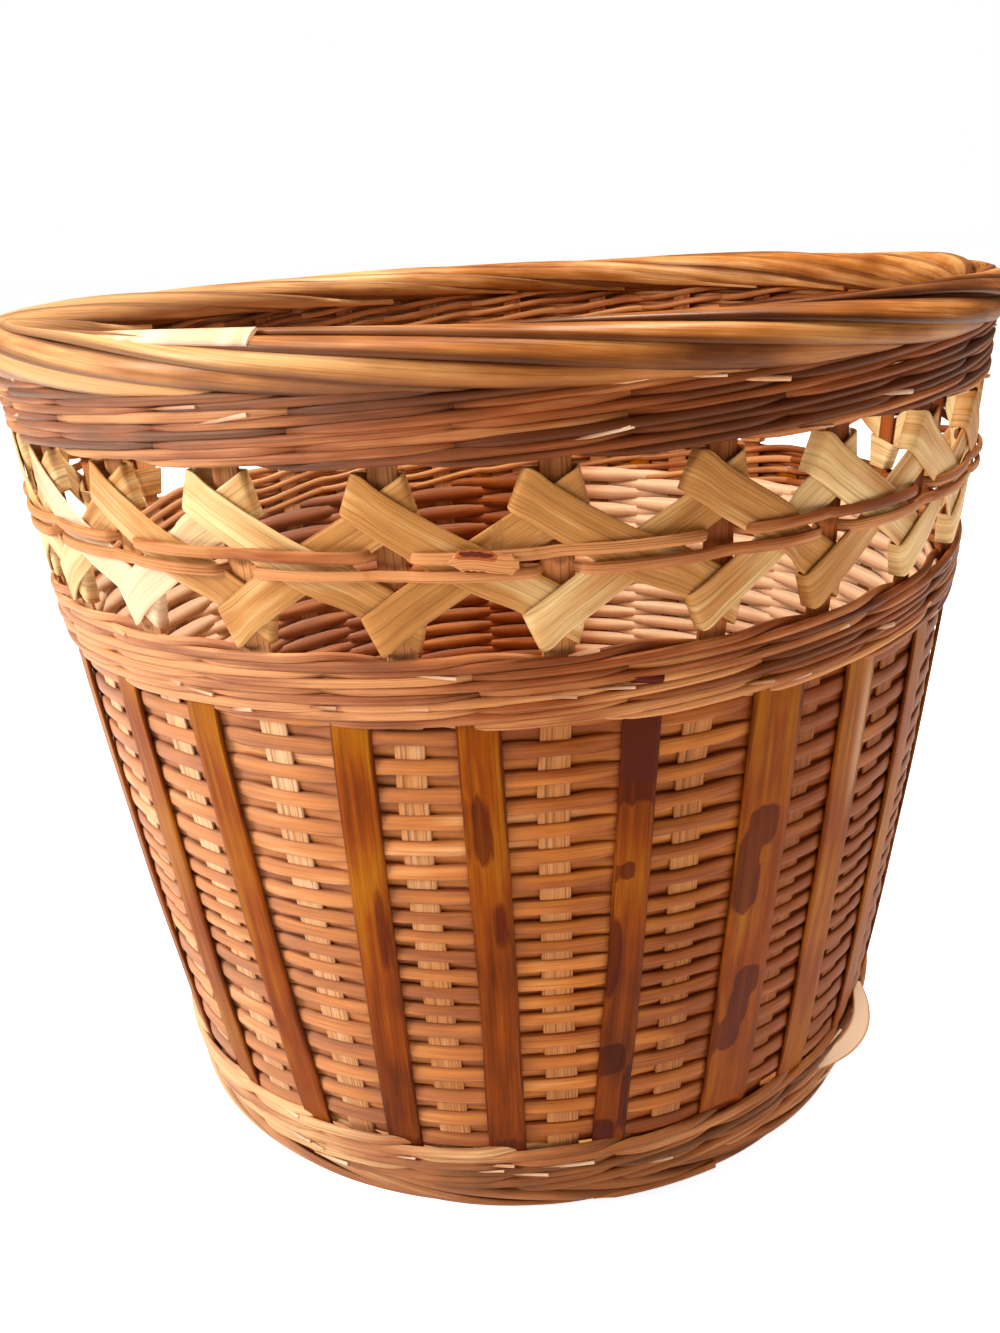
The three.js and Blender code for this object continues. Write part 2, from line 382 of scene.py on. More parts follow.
def cane_material(name, colors, streak=0.5, fibre=0.35, line_width=0.35, patch=0.35, rough=0.5,
                  coat=0.0, bump=0.25, scorch_and_shade=(0.7, 0.4, 0.3), upper_tint=None, sheen=0.25,
                  edges=None):
    """Split cane: long fibres, streaks, patches from strand to strand, and marks, which scorch
    and pale it, and also paint shade and light.
    The three colours are for dark, middling and light cane. upper_tint and edges each give two
    places, between which a tint sets in: in height, and across the strand. The edges tint is
    painted shade in the gaps between strands."""
    material = bpy.data.materials.new(name)
    material.use_nodes = True
    tree = material.node_tree
    shader = tree.nodes["Principled BSDF"]
    along, across = channels(tree, "strand")
    seed, mark = channels(tree, "tone")
    fine = noise_node(tree, scaled(tree, along, 0.022), scaled(tree, across, 1 / line_width), 0.0, 4.0)
    broad = noise_node(tree, scaled(tree, along, 0.03), scaled(tree, across, 0.32), 3.7, 3.0)
    place = tree.nodes.new("ShaderNodeTexCoord").outputs["Object"]
    blotch = tree.nodes.new("ShaderNodeTexNoise")
    blotch.inputs["Scale"].default_value = 34.0
    blotch.inputs["Detail"].default_value = 4.0
    link(tree, place, blotch.inputs["Vector"])

    value = math_node(tree, "ADD", centred(tree, broad, streak * 2),
                      centred(tree, blotch.outputs["Fac"], patch * 2))
    value = math_node(tree, "ADD", value, seed, clamp=True)
    color = ramp_node(tree, value, list(zip((0.0, 0.5, 1.0), map(screen_color, colors))))
    lines = math_node(tree, "ADD", centred(tree, fine, fibre * 4), 0.5, clamp=True)
    color = mix_node(tree, 1.0, color, ramp_node(tree, lines, FIBRE_SHADES), "MULTIPLY")
    if edges:
        start, end, tint = edges
        off = math_node(tree, "ABSOLUTE", across)
        color = tinted(tree, risen(tree, off, start, end), color, tint)
    if upper_tint:
        low, high, tint = upper_tint
        height = tree.nodes.new("ShaderNodeSeparateXYZ")
        link(tree, place, height.inputs[0])
        color = tinted(tree, risen(tree, height.outputs[2], low * MM, high * MM), color, tint)
    link(tree, marked(tree, color, mark, broad, scorch_and_shade), shader.inputs["Base Color"])

    roughness = math_node(tree, "ADD", scaled(tree, fine, 0.25), rough - 0.12, clamp=True)
    link(tree, roughness, shader.inputs["Roughness"])
    shader.inputs["Coat Weight"].default_value = coat
    shader.inputs["Coat Roughness"].default_value = 0.22
    shader.inputs["Specular IOR Level"].default_value = sheen
    shader.inputs["Specular Tint"].default_value = WARM_GLOSS
    bumper = tree.nodes.new("ShaderNodeBump")
    bumper.inputs["Strength"].default_value = bump
    bumper.inputs["Distance"].default_value = 0.3 * MM
    link(tree, math_node(tree, "ADD", fine, scaled(tree, broad, 0.6)), bumper.inputs["Height"])
    link(tree, bumper.outputs[0], shader.inputs["Normal"])
    return material


def make_materials():
    return {
        # The stakes' darkening tint serves only their painted shade under the upper band
        "stake": cane_material("stake_cane", ("8a4c22", "c08350", "eccba4"), streak=0.35, fibre=0.8,
                               line_width=0.45, rough=0.62, bump=0.6, scorch_and_shade=(0.5, 0.45, 0.42),
                               upper_tint=(146, 152, screen_color("f4cba6"))),
        "overlay": cane_material("overlay_cane", ("4e1c02", "843c03", "a26406"), streak=0.7,
                                 fibre=0.4, line_width=0.6, patch=0.6, rough=0.42, sheen=0.08,
                                 scorch_and_shade=(0.42, 0.25, 0.05)),
        # The wall's edges tint is painted shade in the gaps between its rows
        "wall": cane_material("wall_reed", ("88431a", "c07432", "e8b680"), streak=0.7, fibre=0.45,
                              rough=0.45, edges=(1.2, 1.7, (0.66, 0.54, 0.46))),
        "band": cane_material("band_reed", ("5a2a12", "944e25", "c98a57"), streak=0.9, fibre=0.7,
                              line_width=0.28, rough=0.45),
        "foot": cane_material("foot_reed", ("6b3c1e", "a96739", "dcae7c"), streak=0.8, fibre=0.6,
                              line_width=0.3, rough=0.5),
        "splint": cane_material("pale_splint", ("8c5824", "bd864a", "ecd09a"), streak=0.6, fibre=0.5,
                                line_width=0.5, patch=0.4, rough=0.45, bump=0.5),
        # The rim's edges tint is painted shade in the gaps between its canes
        "rim": cane_material("rim_cane", ("5f3012", "9e6029", "cf9a60"), streak=0.9, fibre=0.5,
                             line_width=0.45, patch=0.6, rough=0.4, coat=0.08,
                             edges=(1.3, 2.3, (0.34, 0.24, 0.2))),
        "core": cane_material("border_core", ("4a2a12", "6f421f", "8a5a30"), rough=0.7),
        "floor_weave": cane_material("floor_weave", ("8d5a2c", "b8824a", "d6a76a"), rough=0.6),
    }


# Woven reeds

def plain_swing(s):
    """1 outside at even steps and -1 inside at odd ones, flattened over the stakes."""
    c = np.cos(math.pi * s)
    return c * (1.2 - 0.2 * c * c)


# The wall's rows: height and pitch of three zones, from the foot up

WALL_TURNS = 38
ROW_ZONES = ((40.0, 3.5), (31.0, 2.55), (46.5, 3.15))
INNER_TILT = -0.12          # inside the stakes the reed leans with the wall, and closes it
OUTER_TILT = 0.1            # outside it faces up a little


def row_level(turn, low, high):
    """Height and pitch of the weaver after some turns."""
    counts = np.array([height / pitch for height, pitch in ROW_ZONES])
    ends = np.concatenate([[0], np.cumsum(counts)]) / counts.sum() * WALL_TURNS
    heights = np.concatenate([[0], np.cumsum([height for height, _ in ROW_ZONES])])
    heights = low + heights / heights[-1] * (high - low)
    z = np.interp(turn, ends, heights)
    return z, np.gradient(z, turn)


def wall_weaver(material):
    """One reed in plain weave. It is narrower outside than inside, so that the stakes show."""
    low, high = levels_of("wall_weaver")
    steps = 10                  # points from one stake to the next
    s = np.arange(WALL_TURNS * STAKES * steps + 1) / steps
    angle = (START_STAKE + s) * PITCH
    z, pitch = row_level(s / STAKES, low + 1.5, high - 0.8)
    z = z + wobble(s, 1.3, 0.1, 11) + 0.5 * np.sin(2 * angle + 0.05 * z) + 0.3 * np.sin(5 * angle - 0.11 * z)
    swing = 0.9 + wobble(s, 2.0, 0.06, 12)
    path = spot(angle, wall(z) - 0.3 + swing * plain_swing(s), z)
    over = np.cos(math.pi * s)
    facing = spot(angle, 1.0, INNER_TILT + (OUTER_TILT - INNER_TILT) * ease((over - 0.2) / 0.6))
    width = pitch + 0.5 + 0.6 * np.abs(over) + wobble(s, 2.3, 0.15, 13)
    width = width + 0.9 * ease((-over - 0.4) / 0.3) - 0.95 * ease((over - 0.7) / 0.25)
    rng = np.random.default_rng(14)
    tone = np.zeros(len(s))
    place = 0
    while place < len(s):
        length = int(rng.integers(8, 50)) * steps
        tone[place:place + length] = rng.uniform(0.3, 0.53)
        place += length
    # Painted side light: the reed is a little paler at the left and much darker at the right
    tone += wobble(s, 1.0, 0.15, 15) + painted_side_light(angle, 0.12, 0.58) - 0.14
    # Painted light on the inner face: paler towards the right and at the far left, a little darker
    # elsewhere, and paler still by the mark there; the mark also pales the whole reed at the left
    side = np.sin(angle)
    lit = ease((side - 0.2) / 0.25) + ease((-side - 0.65) / 0.25)
    inner = 1.15 * lit + 0.5 * np.maximum(side, 0) - 0.28
    mark = two_sided(-painted_side_light(angle, 0.16, 0), WALL_REED, -0.35 * lit)
    weave = Weave()
    weave.strand_along(path, facing, width, 1.5, WALL_REED, tone=two_sided(tone, WALL_REED, inner),
                       mark=mark)
    weave.finish("woven_wall", material, "wall_reed", "wall_weaver")


# The stakes that lean to the right above the wall, in degrees

LEANS = {0: 1.0, 1: 1.8, 24: 0.7}
LEAN_START = 120.0
LEAN_REACH = 35.0
# The stakes' darkening under the upper band is painted shade
BAND_SHADE = (140.0, 8.0)   # the stakes are paler above this height, over this reach
UPPER_SHADE = (165.0, 4.0)  # and are darker again under the upper band


def lean(stake):
    return math.radians(LEANS.get(stake % STAKES, 0.0))


def stakes(material):
    low, high = levels_of("stake_01")
    foot_width, top_width = STAKE_WIDTHS
    z = np.linspace(low, high, 60)
    for k in range(STAKES):
        angle = k * PITCH + lean(k) * np.clip((z - LEAN_START) / LEAN_REACH, 0, 1)
        angle = angle + wobble(z, 30, 0.35, 200 + k) / wall(z)
        path = spot(angle, wall(z) + wobble(z, 9, 0.12, 240 + k), z)
        width = foot_width + (top_width - foot_width) * z / PROFILE_HEIGHT + wobble(z, 14, 0.3, 280 + k)
        rng = np.random.default_rng(320 + k)
        # Painted side light: paler at the left, darker at the right
        tone = rng.uniform(0.22, 0.42) + painted_side_light(angle, 0.6, 0.5)
        tone = tone + 0.3 * ease((z - BAND_SHADE[0]) / BAND_SHADE[1])
        # Painted shade under the upper band, drawn with the mark
        mark = 0.6 * np.clip((z[:, None] - UPPER_SHADE[0]) / UPPER_SHADE[1], 0, 1)
        weave = Weave()
        weave.strand_along(path, spot(angle, 1.0, 0.0), width, 0.85, STRIP, tone=tone, mark=mark)
        weave.finish(f"upright_{k + 1:02d}", material, "stake_cane", f"stake_{k + 1:02d}")


# Overlay strips: width, tone at the foot and at the top, and marks, which are (height, reach along
# the strip, strength, place across it from -1 at its right to 1, reach across it)

OVERLAY_LOOKS = {
    0: {"tone": (0.1, 0.62),
        "marks": [(131, 14, 1.9, 0.0, 3.0), (99.5, 2.4, 0.8, 0.3, 0.5), (76, 12, 0.75, 0.8, 0.7),
                  (48, 5, 1.0, 0.3, 0.9), (24, 5, 1.6, 0.6, 0.8), (36, 13, 0.7, -0.9, 0.6)]},
    1: {"tone": (0.62, 0.74), "width": 13.2,
        "marks": [(103, 5.2, 1.0, 0.06, 0.66), (96.5, 7, 1.0, 0.5, 0.5), (88, 7.0, 1.0, 0.45, 0.56),
                  (61, 4.8, 1.0, -0.14, 0.62), (54, 6, 1.0, 0.05, 0.52), (47, 5.4, 1.0, 0.25, 0.5),
                  (20, 4, 0.8, 0.2, 1.0)]},
    # The third strip's pale mark near its top right edge is a painted highlight
    2: {"tone": (0.6, 0.65), "width": 9.8, "marks": [(118, 18, -0.3, -0.8, 0.5)]},
    3: {"tone": (0.6, 0.75), "marks": []},
    20: {"tone": (0.7, 0.75), "marks": []},
    21: {"tone": (0.6, 0.7), "marks": [(70, 30, 0.5, -0.8, 0.6)]},
    22: {"tone": (0.5, 0.6), "marks": [(60, 30, 0.5, -0.8, 0.5)]},
    23: {"tone": (0.3, 0.65), "marks": [(84, 16, 0.55, -0.6, 0.7), (20, 5, 0.5, 0, 1.5)]},
    24: {"tone": (0.3, 0.55), "marks": [(112, 10, 0.62, 0.2, 0.7), (88, 8, 0.55, -0.4, 0.6),
                                        (22, 5, 0.5, 0, 1.4)]},
}

# Overlay strips that stand a little off their places, in degrees at the top and at the foot

STRIP_LEANS = {0: (1.7, -1.0), 1: (2.8, 1.3), 2: (0.3, 0.0), 22: (-1.6, 0.3), 23: (2.0, 0.1)}
TUCK = 4.0                  # the strips' ends reach this far under the bands
TUCK_SLOPE = 14.0           # the strips bend in over this length


def chance_look(rng):
    """The look of a strip that the photograph doesn't show."""
    tone = rng.uniform(0.4, 0.7, 2)
    marks = [(rng.uniform(30, 125), rng.uniform(4, 20), rng.uniform(0.4, 0.8), rng.uniform(-1, 1), 0.7)
             for _ in range(3)]
    return {"tone": tone, "marks": marks}


def overlays(material):
    for k in range(STAKES):
        low, high = levels_of(f"overlay_{k + 1:02d}")
        rng = np.random.default_rng(400 + k)
        chance = chance_look(rng)
        look = OVERLAY_LOOKS.get(k, chance)
        width = look.get("width", rng.uniform(7.8, 9.0))
        z = np.linspace(low - TUCK, high + TUCK, 90)
        taper = np.clip(np.minimum(z - z[0], z[-1] - z) / TUCK_SLOPE, 0, 1)
        out = 0.8 + 0.65 * taper * (2 - taper) + wobble(z, 25, 0.1, 430 + k)
        top, foot = STRIP_LEANS.get(k, (0.0, 0.0))
        turned = np.radians(foot + (top - foot) * (z - z[0]) / (z[-1] - z[0]))
        angle = (k + 0.5) * PITCH + turned + wobble(z, 60, 0.4, 460 + k) / wall(z)
        path = spot(angle, wall(z) + out, z)
        widths = width + wobble(z, 20, 0.25, 490 + k)
        mark = np.tile(0.45 * (np.abs(STRIP[:, 0]) > 0.9), (len(z), 1))
        for place, reach, strength, lie, wide in look["marks"]:
            spread = np.exp(-((z[:, None] - place) / reach) ** 4 - ((STRIP[:, 0] - lie) / wide) ** 4)
            mark = np.where(np.abs(mark) > np.abs(strength * spread), mark, strength * spread)
        tone = np.interp(z, (z[0], z[-1]), look["tone"])
        weave = Weave()
        weave.strand_along(path, spot(angle, 1.0, 0.0), widths, 1.0, STRIP, tone=tone, mark=mark)
        if k == 0:
            burnt_tip(weave, angle[-1], high, width)
        weave.finish(f"strip_{k + 1:02d}", material, "overlay_cane", f"overlay_{k + 1:02d}")


def burnt_tip(weave, angle, high, width):
    """The scorched, charred end of the front strip comes out again between the reeds of the band."""
    t = np.linspace(0, 1, 9)
    z = high + 4.6 + 3.4 * t
    angle = angle + 0.006 * t
    out = 2.7 - 1.6 * (2 * t - 1) ** 2
    weave.strand_along(spot(angle, wall(z) + out, z), spot(angle, 1.0, 0.0), 0.8 * width, 0.6, STRIP,
                       tone=0.4, mark=1.9)


CUT_ENDS = 44               # in each band


def cut_ends(weave, low, high, out, seed):
    """Short pale ends of reeds, left where one reed runs out and the next begins."""
    rng = np.random.default_rng(seed)
    t = np.linspace(0, 1, 9)
    for _ in range(CUT_ENDS):
        level = rng.uniform(low, high)
        start = rng.uniform(0, 2 * math.pi)
        length = rng.uniform(5, 12)
        z = level + rng.uniform(-0.12, 0.2) * length * t
        angle = start + length * t / wall(level)
        rise = out + 0.5 * (t - 0.5)
        width = rng.uniform(0.5, 1.1) * np.clip(t * 3, 0.2, 1)
        mark = -rng.uniform(0.2, 0.75) * t[:, None]
        weave.strand_along(spot(angle, wall(z) + rise, z), spot(angle, 1.0, 0.0), width, 0.6,
                           ROUND_REED, tone=0.8, mark=mark)


def waled_band(name, material, slot, node, rows, reed, depth, tone, seed, lit_paler, dark, drop=0.0,
               stretch=0.0):
    """Rounds of three-rod waling: each rod passes over two stakes and behind one, and climbs.
    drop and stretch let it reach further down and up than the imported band."""
    low, high = levels_of(node)
    low, high = low - drop, high + stretch
    bulge = 0.8
    weave = Weave()
    steps = 12
    loop = 3 * STAKES
    s = np.arange(loop * steps) / steps
    angle = (START_STAKE + s) * PITCH
    rise = (high - low - reed) / rows
    for row in range(rows):
        part = ((s + 0.5 + row) / 3) % 1.0      # of the rod's way past three stakes
        outside = ease((part + 0.11) / 0.22) - ease((part - 0.56) / 0.22) + ease((part - 0.89) / 0.22)
        climb = np.where(part < 2 / 3, part * 1.5, 1 - ease((part - 2 / 3) * 3))
        z = low + reed / 2 + rise * (row + climb) + wobble(s, 1.5, 0.14, seed + row, loop)
        z = z + 0.4 * np.sin(2 * math.pi * s * 2 / STAKES + seed)
        swing = (0.5 + depth / 2) * (2 * outside - 1) + bulge
        out = wall(z) + swing + wobble(s, 1.5, 0.35, seed + 10 + row, loop)
        # Painted side light: paler at the left and darker at the right; the mark below makes the left paler
        # still
        shade = tone + wobble(s, 3.0, 0.5, seed + 30 + row, loop) + painted_side_light(angle, lit_paler, dark)
        width = rise / 2 + 0.4 + wobble(s, 1.5, 0.2, seed + 40 + row, loop)
        weave.strand_along(spot(angle, out, z), spot(angle, 1.0, 0.1), width, depth, ROUND_REED,
                           tone=two_sided(shade, ROUND_REED, 0.3), mark=-painted_side_light(angle, 0.12, 0)[:, None],
                           closed=True)
    cut_ends(weave, low + 1, high - 1, bulge + depth + 0.2, seed + 60)
    weave.finish(name, material, slot, node)


# The zigzag splint, flattened: its corners at a stake are given as the place along the basket from
# the stake, the distance out from the stake's centre line, the height above the middle of the open
# band, the splint's height there, and the slant of its edge. Where it goes down, heights and slants
# are turned over.

SPLINT_HEIGHT = 9.9
SPLINT_UNDER = 1.35         # out from the stake where the splint lies next to it
SPLINT_OVER = 2.3           # and where it lies over itself
RIGHT_FOLD = 12.7           # how high the folds lie at the stake's right and left
LEFT_FOLD = 13.2
RIGHT_EDGE = 4.8            # how far to the right and left they lie, on the way up and on the way down
LEFT_EDGES = {1: 6.6, -1: 4.9}

# Folds that stand further off their stakes, by their step round the basket

LOOSE_FOLDS = {48: 2.2, 46: 1.0, 44: 1.5}

# The fold at the left, made paler as a painted highlight

PAINTED_LIGHT_STEPS = (46.6, 48.1)


def splint_corners(step, half):
    """One step's corners: the splint comes up in front of a stake, folds round its right edge,
    goes behind it, folds round its left edge, and goes down over itself."""
    rng = np.random.default_rng(600 + step)
    up = 1 if step % 2 == 0 else -1
    top_right = RIGHT_FOLD + rng.uniform(-0.4, 0.4)
    top_left = LEFT_FOLD + rng.uniform(-0.4, 0.4)
    right = RIGHT_EDGE + rng.uniform(-0.3, 0.3)
    left = LEFT_EDGES[up] + LOOSE_FOLDS.get(step, 0.0) + rng.uniform(-0.4, 0.4)
    slope = (RIGHT_FOLD + LEFT_FOLD) / (2 * half + RIGHT_EDGE + left)
    crossing = SPLINT_OVER if up == 1 else 1.0
    rows = [
        (-left - 3.0, 1.3, top_right - slope * (right + left + 3.0), SPLINT_HEIGHT, 0.0),
        (0.0, SPLINT_UNDER, top_right - slope * right, SPLINT_HEIGHT, 0.0),
        (right - 0.8, SPLINT_UNDER, top_right - slope * 0.8, 9.5, -0.1),
        (right, 0.8, top_right + 0.1, 8.9, -0.25),
        (right, -0.9, top_right + 0.3, 8.7, -0.25),
        (right - 0.8, -SPLINT_UNDER, top_right + 0.3, 8.6, -0.1),
        (-left + 0.8, -SPLINT_UNDER, top_left + 0.4, 7.8, 0.2),
        (-left, -0.9, top_left + 0.7, 7.3, 0.4),
        (-left, 1.4, top_left + 0.7, 7.3, 0.42),
        (-left + 0.7, 2.1, top_left + 0.4, 8.2, 0.36),
        (-left + 3.0, 2.2, top_left - slope * 1.6, 9.6, 0.16),
        (-left + 6.0, 2.25, top_left - slope * 5.6, 10.0, 0.02),
        (right, SPLINT_OVER, top_left - slope * (left + right), SPLINT_HEIGHT, 0.0),
        (half, crossing, top_left - slope * (half + left), SPLINT_HEIGHT, 0.0),
    ]
    return [(u, out, up * z, tall, up * slant) for u, out, z, tall, slant in rows]


def zigzag(material):
    """One splint, twice round the open band."""
    middle = middle_of("zigzag_splint")
    radius = wall(middle)
    half = radius * PITCH / 2
    steps = 2 * STAKES
    loop = steps * 2 * half
    points = []
    for step in range(steps):
        centre = step * 2 * half + lean(step) * radius
        for u, out, z, tall, slant in splint_corners(step, half):
            points.append((centre + u, out, middle + z, tall, slant))
    corners = len(points) // steps
    points = np.array(points)
    ring = np.vstack([points, points[:1] + [loop, 0, 0, 0, 0]])
    place = np.arange(0, len(points), 1 / 3)
    curve = np.stack([np.interp(place, np.arange(len(ring)), column) for column in ring.T], axis=1)
    before, after = np.roll(curve, 1, 0), np.roll(curve, -1, 0)
    before[0, 0] -= loop
    after[-1, 0] += loop
    u, out, z, tall, slant = (0.25 * before + 0.5 * curve + 0.25 * after).T
    angle = u / radius
    path = spot(angle, wall(z) + out, z)
    tangent = np.stack([np.cos(angle), np.sin(angle), np.zeros_like(angle)], axis=1)
    side = spot(angle, 0.1, 1.0) + slant[:, None] * tangent
    # Painted side light: paler at the left and at the right
    tone = 0.46 + wobble(u, 2 * half, 0.3, 650, loop) + painted_side_light(angle, 0.4, -0.3)
    # Painted highlight on the fold at the left, drawn with the mark
    first, last = (step * corners for step in PAINTED_LIGHT_STEPS)
    mark = -0.5 * ease((place - first) / 4) * ease((last - place) / 3)
    weave = Weave()
    weave.strand_along(path, None, tall * np.linalg.norm(side, axis=1), 0.62, THIN_STRIP, tone=tone,
                       mark=mark[:, None], closed=True, side=side)
    weave.finish("zigzag", material, "pale_splint", "zigzag_splint")


def mid_reeds(material):
    """One thin reed, twice round, in front of the crossings, and by turns behind a stake."""
    middle = middle_of("zigzag_splint")
    points = []
    for step in range(2 * STAKES):
        rng = np.random.default_rng(700 + step)
        level = -1.7 if step < STAKES else 1.8
        if step in (0, STAKES):
            level = 0.0
        z = middle + level + rng.uniform(-0.35, 0.35)
        here = step + lean(START_STAKE + step) / PITCH
        after = step + lean(START_STAKE + step + 1) / PITCH
        front = step % 2 == 0
        # Each point: stakes along the basket, distance out from the wall, height
        points += [
            (here, 2.2 if front else -1.2, z),
            (here + 0.08, 2.3 if front else -1.0, z),
            (here + 0.13, 2.5 if front else 1.4, z),
            (here + 0.2, 2.9, z),
            (step + 0.5, 3.5, z),
            (after + 0.8, 2.9, z),
            (after + 0.87, 1.4 if front else 2.5, z),
            (after + 0.92, -1.0 if front else 2.3, z),
        ]
    s, out, z = smooth_path(points, 4).T
    angle = (START_STAKE + s) * PITCH
    # Painted side light: paler at the left, darker at the right
    tone = 0.85 + wobble(s, 2.0, 0.3, 750) + painted_side_light(angle, 0.4, 0.45)
    weave = Weave()
    weave.strand_along(spot(angle, wall(z) + out, z), spot(angle, 1.0, 0.0),
                       2.3 + wobble(s, 3, 0.3, 751), 1.1, OVAL_REED, tone=tone)
    splice(weave, middle)
    weave.finish("mid_reeds", material, "band_reed", "mid_reed")


def splice(weave, middle):
    """The torn flat end of the splint, caught under the thin reeds left of the front."""
    t = np.linspace(0, 1, 90)
    angle = (-17.6 + 12.5 * t) / wall(middle)
    z = middle + 1.0 + 0.5 * np.sin(5.0 * t)
    out = 3.9 + 0.6 * t
    width = 4.0 * np.clip(t * 5, 0.2, 1) * np.clip((1 - t) * 12, 0.5, 1) + wobble(t, 0.05, 0.3, 780)
    crack = 0.7 - 0.3 * t[:, None]
    mark = 2.2 * np.exp(-((t[:, None] - 0.42) / 0.26) ** 6 - ((OVAL_REED[:, 0] - crack) / 0.4) ** 4)
    weave.strand_along(spot(angle, wall(z) + out, z), spot(angle, 1.0, 0.0), width, 0.9, OVAL_REED,
                       tone=0.95, mark=mark)


class Border:
    """A ring with an oval section, that canes roll round."""

    def __init__(self, radius, height, out, up):
        self.radius, self.height = radius, height
        self.out, self.up = out, up

    def path(self, angle, turn, lift):
        r = self.radius + (self.out + lift) * np.cos(turn)
        return spot(angle, r, self.height + (self.up + lift) * np.sin(turn))

    def normal(self, angle, turn):
        return spot(angle, np.cos(turn) / self.out, np.sin(turn) / self.up)


def rolled_canes(border, count, span, turns, width, depth, seed, tilt):
    """Canes that roll round the border, each lying on the next. A cane reaches over span degrees
    of the basket, and turns from the first to the last of turns round the border."""
    weave = Weave()
    first, last = (math.radians(turn) for turn in turns)
    t = np.linspace(0, 1, 110)
    for k in range(count):
        rng = np.random.default_rng(seed + k)
        turn = first + (last - first) * t + wobble(t, 0.16, 0.2, seed + 100 + k)
        angle = (k + rng.uniform(-0.12, 0.12)) / count * 2 * math.pi + math.radians(span) * t
        lift = rng.uniform(-0.3, 0.3) + wobble(t, 0.2, 0.4, seed + 300 + k)
        taper = np.clip(np.minimum(t, 1 - t) * 9, 0.25, 1)
        widths = (width + rng.uniform(-0.6, 0.6) + wobble(t, 0.2, 0.4, seed + 400 + k)) * taper
        # Painted side light: much paler at the left and a little paler at the right; the mark makes the left
        # paler still. The canes are also paler at the back.
        tone = rng.uniform(0.05, 0.5) + wobble(t, 0.15, 0.18, seed + 200 + k) + painted_side_light(angle, 0.75, -0.2)
        tone = tone - 0.2 * np.minimum(np.cos(angle), 0)
        weave.strand_along(border.path(angle, turn, lift), border.normal(angle, turn), widths, depth,
                           CANE, tone=tone, mark=-painted_side_light(angle, 0.1, 0)[:, None], tilt=tilt,
                           start=97.0 * k)
    return weave


def rolled_rim(border, material):
    weave = rolled_canes(border, 17, -144, (-75, 240), width=4.9, depth=2.0, seed=900, tilt=0.26)
    pale_end(weave, border)
    weave.finish("rolled_rim", material, "rim_cane", "rim_strand")


def pale_end(weave, border):
    """The pale cut end of one cane, lying on the front left of the border."""
    t = np.linspace(0, 1, 40)
    angle = np.radians(-45 + 21.5 * t)
    turn = np.radians(84 - 20 * t)
    mark = -(0.6 + wobble(t, 0.06, 0.3, 790)) * ease(t * 1.6)
    weave.strand_along(border.path(angle, turn, 0.5 + 0.7 * t), border.normal(angle, turn),
                       4.8 * np.clip(t * 4, 0.3, 1), 1.1, CANE, tone=1.1, tilt=0.1, mark=mark[:, None])


def rolled_foot(border, material):
    weave = rolled_canes(border, 20, 110, (140, -120), width=4.1, depth=1.8, seed=950, tilt=0.1)
    sprung_splint(weave)
    reed_end(weave)
    filler(weave, border, 10.6, 7.0, tone=0.1)
    weave.finish("rolled_foot", material, "foot_reed", "foot_hoop")


def sprung_splint(weave):
    """A pale splint that has sprung out of the foot at its right; its middle is paler still with painted
    light, and its edges are darker.
    """
    t = np.linspace(0, 1, 60)
    bow = np.sin(math.pi * t)
    angle = np.radians(43.5 + 15.5 * t)
    z = 14.5 + 10.5 * t
    mark = np.where(np.abs(THIN_STRIP[:, 0]) > 0.75, 0.9, -0.85)
    weave.strand_along(spot(angle, wall(z) + 1.2 + 5.2 * bow, z), spot(np.radians(-5.0), 1.0, 0.5),
                       2.6 + 2.6 * bow, 0.5, THIN_STRIP, tone=1.1, mark=mark)


def reed_end(weave):
    """The end of a reed below the front of the foot."""
    t = np.linspace(0, 1, 60)
    angle = np.radians(4.0 + 18.5 * t)
    weave.strand_along(spot(angle, FOOT_RADIUS + 3.9 + 0.9 * t, 3.6 + 0.6 * t), spot(angle, 1.0, 0.0),
                       2.2 * np.clip(t * 6, 0.2, 1), 1.1, ROUND_REED, tone=0.45)


def filler(weave, border, tall, deep, tone):
    """The hoop inside a border, a little thinner than the ring that the canes roll round."""
    angle = np.arange(150) / 150 * 2 * math.pi
    weave.strand_along(spot(angle, border.radius, border.height), spot(angle, 1.0, 0.0), tall, deep,
                       round_section(14, 1.0), tone=tone, closed=True)


def rim_filler(border, material):
    weave = Weave()
    filler(weave, border, 9.0, 8.4, tone=0.5)
    weave.finish("rim_filler", material, "border_core", "rim_core")


def woven_floor(material):
    """Floor of the basket: flat splints in plain weave, cut to a round, with reeds round it."""
    middle = middle_of("base_mat")
    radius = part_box("base_mat")[1].x / MM
    gap = 8.6
    width = 7.6
    shortest = 5.0
    rings = 4
    count = int(radius // gap)
    weave = Weave()
    for way in (0, 1):
        for i in range(-count, count + 1):
            place = i * gap
            reach = math.sqrt(max(radius ** 2 - (abs(place) + width / 2) ** 2, shortest ** 2))
            u = np.linspace(-reach, reach, max(9, int(reach * 2 / 1.4)))
            z = middle + 0.75 * np.cos(math.pi * (u / gap + i + way))
            flat = np.full_like(u, place)
            path = np.stack([u, flat, z] if way == 0 else [flat, u, z], axis=1)
            rng = np.random.default_rng(850 + 100 * way + i)
            weave.strand_along(path, np.tile([0.0, 0.0, 1.0], (len(u), 1)), width, 0.9, THIN_STRIP,
                               tone=rng.uniform(0.3, 0.7))
    angle = np.arange(180) / 180 * 2 * math.pi
    for ring in range(rings):
        z = middle + 0.6 * np.sin(30 * angle + 2 * ring)
        weave.strand_along(spot(angle, radius - 4.5 + 2.9 * ring, z),
                           np.tile([0.0, 0.0, 1.0], (len(angle), 1)), 3.3, 1.9, ROUND_REED,
                           tone=0.5 + 0.1 * ring, closed=True)
    weave.finish("woven_floor", material, "floor_weave", "base_mat")


# Stage, lamps and camera

def link_object(name, data):
    thing = bpy.data.objects.new(name, data)
    bpy.context.scene.collection.objects.link(thing)
    return thing


